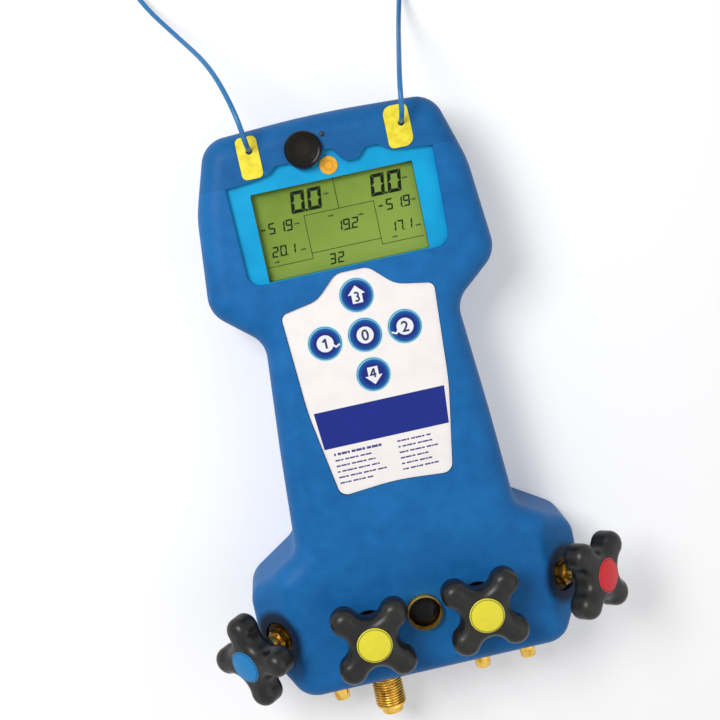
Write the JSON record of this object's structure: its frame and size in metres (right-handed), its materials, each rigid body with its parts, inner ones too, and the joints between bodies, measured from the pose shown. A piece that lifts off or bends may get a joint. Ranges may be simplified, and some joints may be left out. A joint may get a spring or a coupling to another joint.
{
  "type": "refrigerant manifold gauge",
  "caption": "Digital refrigerant manifold gauge in a rubber boot, with a display, keypad, handwheel valves, sight glass, hose ports and corded probes.",
  "frame": {"origin": "on the flat back that the instrument rests on, where the line of the four valves crosses the plane of symmetry", "axes": "+X to the right seen from the front, +Y from the ports to the head, +Z out of the front"},
  "size_m": [0.2229, 0.503, 0.0834],
  "materials": {
    "boot_rubber": "satin moulded rubber",
    "housing_plastic": "moulded plastic",
    "battery_jacket": "printed jacket",
    "spring_steel": "nickel plated",
    "clear_window": "clear, hard coated",
    "gasket_foam": "foam",
    "screen": "reflective liquid crystal panel",
    "circuit_board": "solder mask",
    "overlay_white": "printed film",
    "key_navy": "printed film",
    "gland_yellow": "moulded plastic",
    "black_gloss": "polished",
    "lamp_dark": "smoked",
    "badge_amber": "domed label",
    "hook_black": "moulded plastic",
    "screw_steel": "zinc plated",
    "block_aluminium": "machined",
    "sensor_steel": "machined",
    "brass": "machined",
    "packing": "packing ring",
    "sight_glass": "polished",
    "knob_black": "polished moulding",
    "cap_blue": "printed disc",
    "cap_yellow": "printed disc",
    "cap_red": "printed disc",
    "cord_blue": "extruded jacket",
    "tie_black": "moulded",
    "probe_steel": "polished tube"
  },
  "bodies": {
    "case": {"boot": "boot_rubber", "boot_hood": "boot_rubber", "front_housing": "housing_plastic", "rear_housing": "housing_plastic", "battery_door": "housing_plastic", "batteries": "battery_jacket", "battery_contacts": "spring_steel", "lcd_window": "clear_window", "lcd_gasket": "gasket_foam", "lcd_module": "screen", "circuit_board": "circuit_board", "keypad_overlay": "overlay_white", "cord_gland_left": "gland_yellow", "cord_gland_right": "gland_yellow", "front_plug": "black_gloss", "status_lamp": "lamp_dark", "amber_badge": "badge_amber", "housing_screws": "screw_steel", "valve_block": "block_aluminium", "pressure_sensor_low": "sensor_steel", "pressure_sensor_high": "sensor_steel", "valve_bonnets": "brass", "stem_packings": "packing", "sight_ring": "brass", "sight_lens": "sight_glass", "low_port": "brass", "vacuum_port": "brass", "charge_port": "brass", "high_port": "brass", "cord_left": "cord_blue", "coil_left": "cord_blue", "cord_tie_left": "tie_black", "probe_left": "probe_steel", "cord_right": "cord_blue", "coil_right": "cord_blue", "cord_tie_right": "tie_black", "probe_right": "probe_steel"},
    "low_piston": {"low_piston": "brass"},
    "low_handwheel": {"low_stem": "brass", "low_knob": "knob_black", "low_cap": "cap_blue"},
    "vacuum_piston": {"vacuum_piston": "brass"},
    "vacuum_handwheel": {"vacuum_stem": "brass", "vacuum_knob": "knob_black", "vacuum_cap": "cap_yellow"},
    "charge_piston": {"charge_piston": "brass"},
    "charge_handwheel": {"charge_stem": "brass", "charge_knob": "knob_black", "charge_cap": "cap_yellow"},
    "high_piston": {"high_piston": "brass"},
    "high_handwheel": {"high_stem": "brass", "high_knob": "knob_black", "high_cap": "cap_red"},
    "key_0": {"key_0": "key_navy"},
    "key_1": {"key_1": "key_navy"},
    "key_2": {"key_2": "key_navy"},
    "key_3": {"key_3": "key_navy"},
    "key_4": {"key_4": "key_navy"},
    "hook": {"hanging_hook": "hook_black"}
  },
  "joints": [
    {"name": "low_lift", "type": "slide", "parent": "case", "child": "low_piston", "axis": [-0.7002, -0.1392, 0.7002], "range_m": [0, 0.0026]},
    {"name": "low_turn", "type": "hinge", "parent": "low_piston", "child": "low_handwheel", "pos_m": [-0.075, -0.001, 0.046], "axis": [-0.7002, -0.1392, 0.7002], "range_deg": [0, 720]},
    {"name": "vacuum_lift", "type": "slide", "parent": "case", "child": "vacuum_piston", "axis": [0, 0, 1], "range_m": [0, 0.0026]},
    {"name": "vacuum_turn", "type": "hinge", "parent": "vacuum_piston", "child": "vacuum_handwheel", "pos_m": [-0.0283, -0.002, 0.056], "axis": [0, 0, 1], "range_deg": [0, 720]},
    {"name": "charge_lift", "type": "slide", "parent": "case", "child": "charge_piston", "axis": [0, 0, 1], "range_m": [0, 0.0026]},
    {"name": "charge_turn", "type": "hinge", "parent": "charge_piston", "child": "charge_handwheel", "pos_m": [0.0283, 0, 0.056], "axis": [0, 0, 1], "range_deg": [0, 720]},
    {"name": "high_lift", "type": "slide", "parent": "case", "child": "high_piston", "axis": [0.7071, 0, 0.7071], "range_m": [0, 0.0026]},
    {"name": "high_turn", "type": "hinge", "parent": "high_piston", "child": "high_handwheel", "pos_m": [0.075, 0, 0.046], "axis": [0.7071, 0, 0.7071], "range_deg": [0, 720]},
    {"name": "key_0_press", "type": "slide", "parent": "case", "child": "key_0", "axis": [0, 0, -1], "range_m": [0, 0.0005], "stiffness_N_per_m": 1500, "springref_m": -0.0004},
    {"name": "key_1_press", "type": "slide", "parent": "case", "child": "key_1", "axis": [0, 0, -1], "range_m": [0, 0.0005], "stiffness_N_per_m": 1500, "springref_m": -0.0004},
    {"name": "key_2_press", "type": "slide", "parent": "case", "child": "key_2", "axis": [0, 0, -1], "range_m": [0, 0.0005], "stiffness_N_per_m": 1500, "springref_m": -0.0004},
    {"name": "key_3_press", "type": "slide", "parent": "case", "child": "key_3", "axis": [0, 0, -1], "range_m": [0, 0.0005], "stiffness_N_per_m": 1500, "springref_m": -0.0004},
    {"name": "key_4_press", "type": "slide", "parent": "case", "child": "key_4", "axis": [0, 0, -1], "range_m": [0, 0.0005], "stiffness_N_per_m": 1500, "springref_m": -0.0004},
    {"name": "hook_fold", "type": "hinge", "parent": "case", "child": "hook", "pos_m": [0, 0.237, 0.00245], "axis": [1, 0, 0], "range_deg": [0, 150]}
  ],
  "couplings": [
    {"joint": "low_lift", "follows": "low_turn", "m_per_rad": 0.00019894},
    {"joint": "vacuum_lift", "follows": "vacuum_turn", "m_per_rad": 0.00019894},
    {"joint": "charge_lift", "follows": "charge_turn", "m_per_rad": 0.00019894},
    {"joint": "high_lift", "follows": "high_turn", "m_per_rad": 0.00019894}
  ]
}
